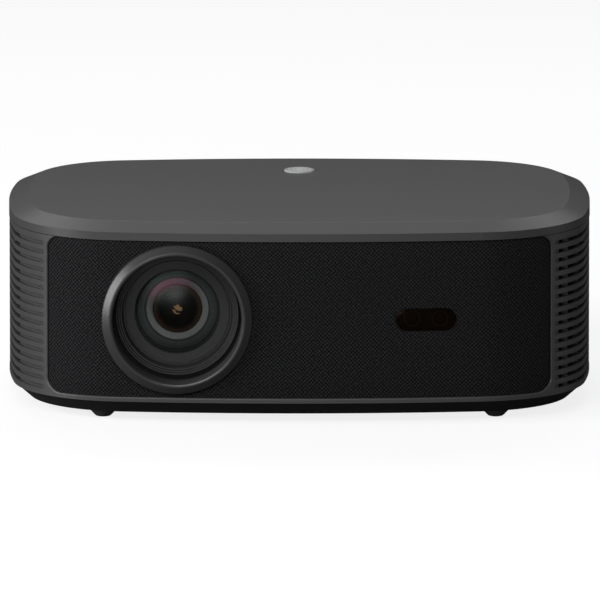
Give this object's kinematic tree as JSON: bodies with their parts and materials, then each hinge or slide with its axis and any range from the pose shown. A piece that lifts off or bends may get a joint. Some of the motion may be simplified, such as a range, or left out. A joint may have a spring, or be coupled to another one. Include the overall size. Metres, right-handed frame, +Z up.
{
  "type": "home projector",
  "caption": "Low home projector with a rounded rectangular casing, cloth front grille, recessed round lens on the left, finned sides and a power button on top.",
  "frame": {"origin": "on the surface the projector stands on, under the middle of its overall box", "axes": "+X to the right seen from the front, -Y towards the screen, +Z up"},
  "size_m": [0.28, 0.197, 0.0976],
  "materials": {
    "charcoal_abs": "satin moulded charcoal",
    "plinth_abs": "matt black",
    "black_abs": "matt black",
    "speaker_cloth": "woven black acoustic cloth",
    "satin_black": "satin black",
    "tinted_window": "smoked infrared acrylic",
    "brass": "turned",
    "foot_rubber": "matt",
    "lens_black": "matt black anodised",
    "optical_glass": "coated optical glass",
    "steel": "plain",
    "display_glass": "liquid crystal panel",
    "mirror_glass": "front silvered",
    "copper": "bare copper",
    "aluminium": "extruded",
    "filter_foam": "open mesh",
    "cone_paper": "pressed paper",
    "circuit_board": "solder mask",
    "chip_epoxy": "moulded epoxy",
    "button_silver": "finely turned",
    "lead_pvc": "flexible sheath"
  },
  "bodies": {
    "casing": {"audio_jack": "black_abs", "base_plate": "plinth_abs", "button_board": "circuit_board", "camera_module": "chip_epoxy", "capacitors": "aluminium", "casing_screws": "steel", "collimator_lens": "optical_glass", "condenser_lens": "optical_glass", "distance_module": "chip_epoxy", "dust_filter": "filter_foam", "engine_cover": "black_abs", "engine_housing": "black_abs", "fan_frame_left": "black_abs", "fan_frame_right": "black_abs", "field_lens": "optical_glass", "focus_bracket": "steel", "focus_motor": "steel", "fold_mirror": "mirror_glass", "front_feet": "foot_rubber", "grille_cloth": "speaker_cloth", "grille_frame": "black_abs", "hdmi_sockets": "steel", "heat_glass": "optical_glass", "heat_sink": "aluminium", "inlet_pins": "brass", "inner_screws": "steel", "lcd_panel": "display_glass", "led_module": "copper", "lens_housing": "black_abs", "lens_trim_ring": "satin_black", "main_board": "circuit_board", "main_chips": "chip_epoxy", "mains_inlet": "black_abs", "mid_shell": "charcoal_abs", "power_board": "circuit_board", "rear_feet": "foot_rubber", "rear_panel": "plinth_abs", "sensor_board": "circuit_board", "sensor_window": "tinted_window", "speaker_cones": "cone_paper", "speaker_lead": "lead_pvc", "speaker_left": "steel", "speaker_right": "steel", "tact_switch": "chip_epoxy", "top_cover": "charcoal_abs", "transformer": "chip_epoxy", "tripod_insert": "brass", "usb_sockets": "steel"},
    "power_button": {"power_button": "button_silver"},
    "lens_carriage": {"lens_front_ring": "lens_black", "lens_barrel": "lens_black", "lens_baffle": "lens_black", "lens_spacer": "lens_black", "front_lens": "optical_glass", "middle_lens": "optical_glass", "rear_lens": "optical_glass"},
    "focus_screw": {"focus_screw": "steel"},
    "fan_rotor_left": {"fan_rotor_left": "black_abs"},
    "fan_rotor_right": {"fan_rotor_right": "black_abs"}
  },
  "joints": [
    {"name": "power_press", "type": "slide", "parent": "casing", "child": "power_button", "axis": [0, 0, -1], "range_m": [0, 0.0008], "stiffness_N_per_m": 1500, "springref_m": -0.0005},
    {"name": "lens_focus", "type": "slide", "parent": "casing", "child": "lens_carriage", "axis": [0, -1, 0], "range_m": [-0.003, 0.003]},
    {"name": "screw_spin", "type": "hinge", "parent": "casing", "child": "focus_screw", "pos_m": [-0.0194, -0.036, 0.0513], "axis": [0, -1, 0], "range_deg": [-540, 540]},
    {"name": "fan_spin_left", "type": "hinge", "parent": "casing", "child": "fan_rotor_left", "pos_m": [-0.122, 0.008, 0.05], "axis": [1, 0, 0], "continuous": true},
    {"name": "fan_spin_right", "type": "hinge", "parent": "casing", "child": "fan_rotor_right", "pos_m": [0.122, 0.008, 0.05], "axis": [1, 0, 0], "continuous": true}
  ],
  "couplings": [
    {"joint": "screw_spin", "follows": "lens_focus", "rad_per_m": 3141.6}
  ]
}
